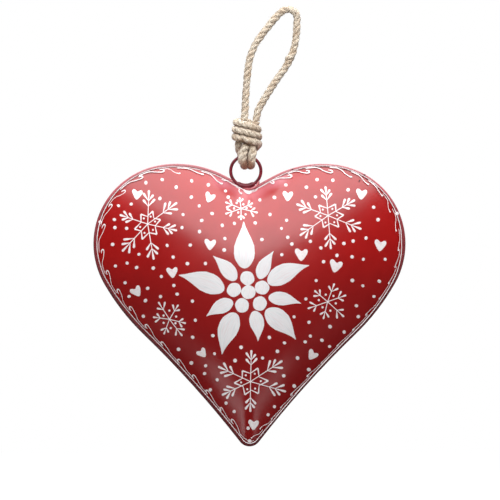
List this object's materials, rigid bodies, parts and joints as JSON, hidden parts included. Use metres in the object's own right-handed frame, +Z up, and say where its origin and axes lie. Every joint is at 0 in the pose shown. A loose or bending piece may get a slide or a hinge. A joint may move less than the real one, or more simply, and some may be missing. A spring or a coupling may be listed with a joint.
{
  "type": "hojalata tin ornament",
  "caption": "Puffed tin heart ornament, hand-painted with folk snowflakes and flowers, hung by a soldered wire ring from a knotted jute cord loop.",
  "frame": {"origin": "inside top of the cord loop, where a nail or hook bears", "axes": "+Z up, +X to the heart's right as seen from the front, +Y into the back, through the thin way of the heart"},
  "size_m": [0.1699, 0.045, 0.24],
  "materials": {
    "jute": "natural twisted jute cord, hairy",
    "painted_wire": "dark red lacquer over steel wire",
    "painted_solder": "red lacquer over a solder bead",
    "painted_tin": "glossy red lacquer over tinplate, painted by hand in white",
    "plain_tin": "glossy red lacquer over tinplate",
    "white_paint": "white enamel painted by hand on the front shell"
  },
  "bodies": {
    "cord": {"cord_loop": "jute", "knot_strand": "jute", "knot_winding": "jute"},
    "heart": {"hanging_ring": "painted_wire", "ring_solder": "painted_solder", "front_shell": "painted_tin", "back_shell": "plain_tin"}
  },
  "joints": [
    {"name": "heart_swing", "type": "hinge", "parent": "cord", "child": "heart", "pos_m": [-0.02365, 0, -0.07795], "axis": [1, 0, 0], "range_deg": [-90, 90]}
  ]
}
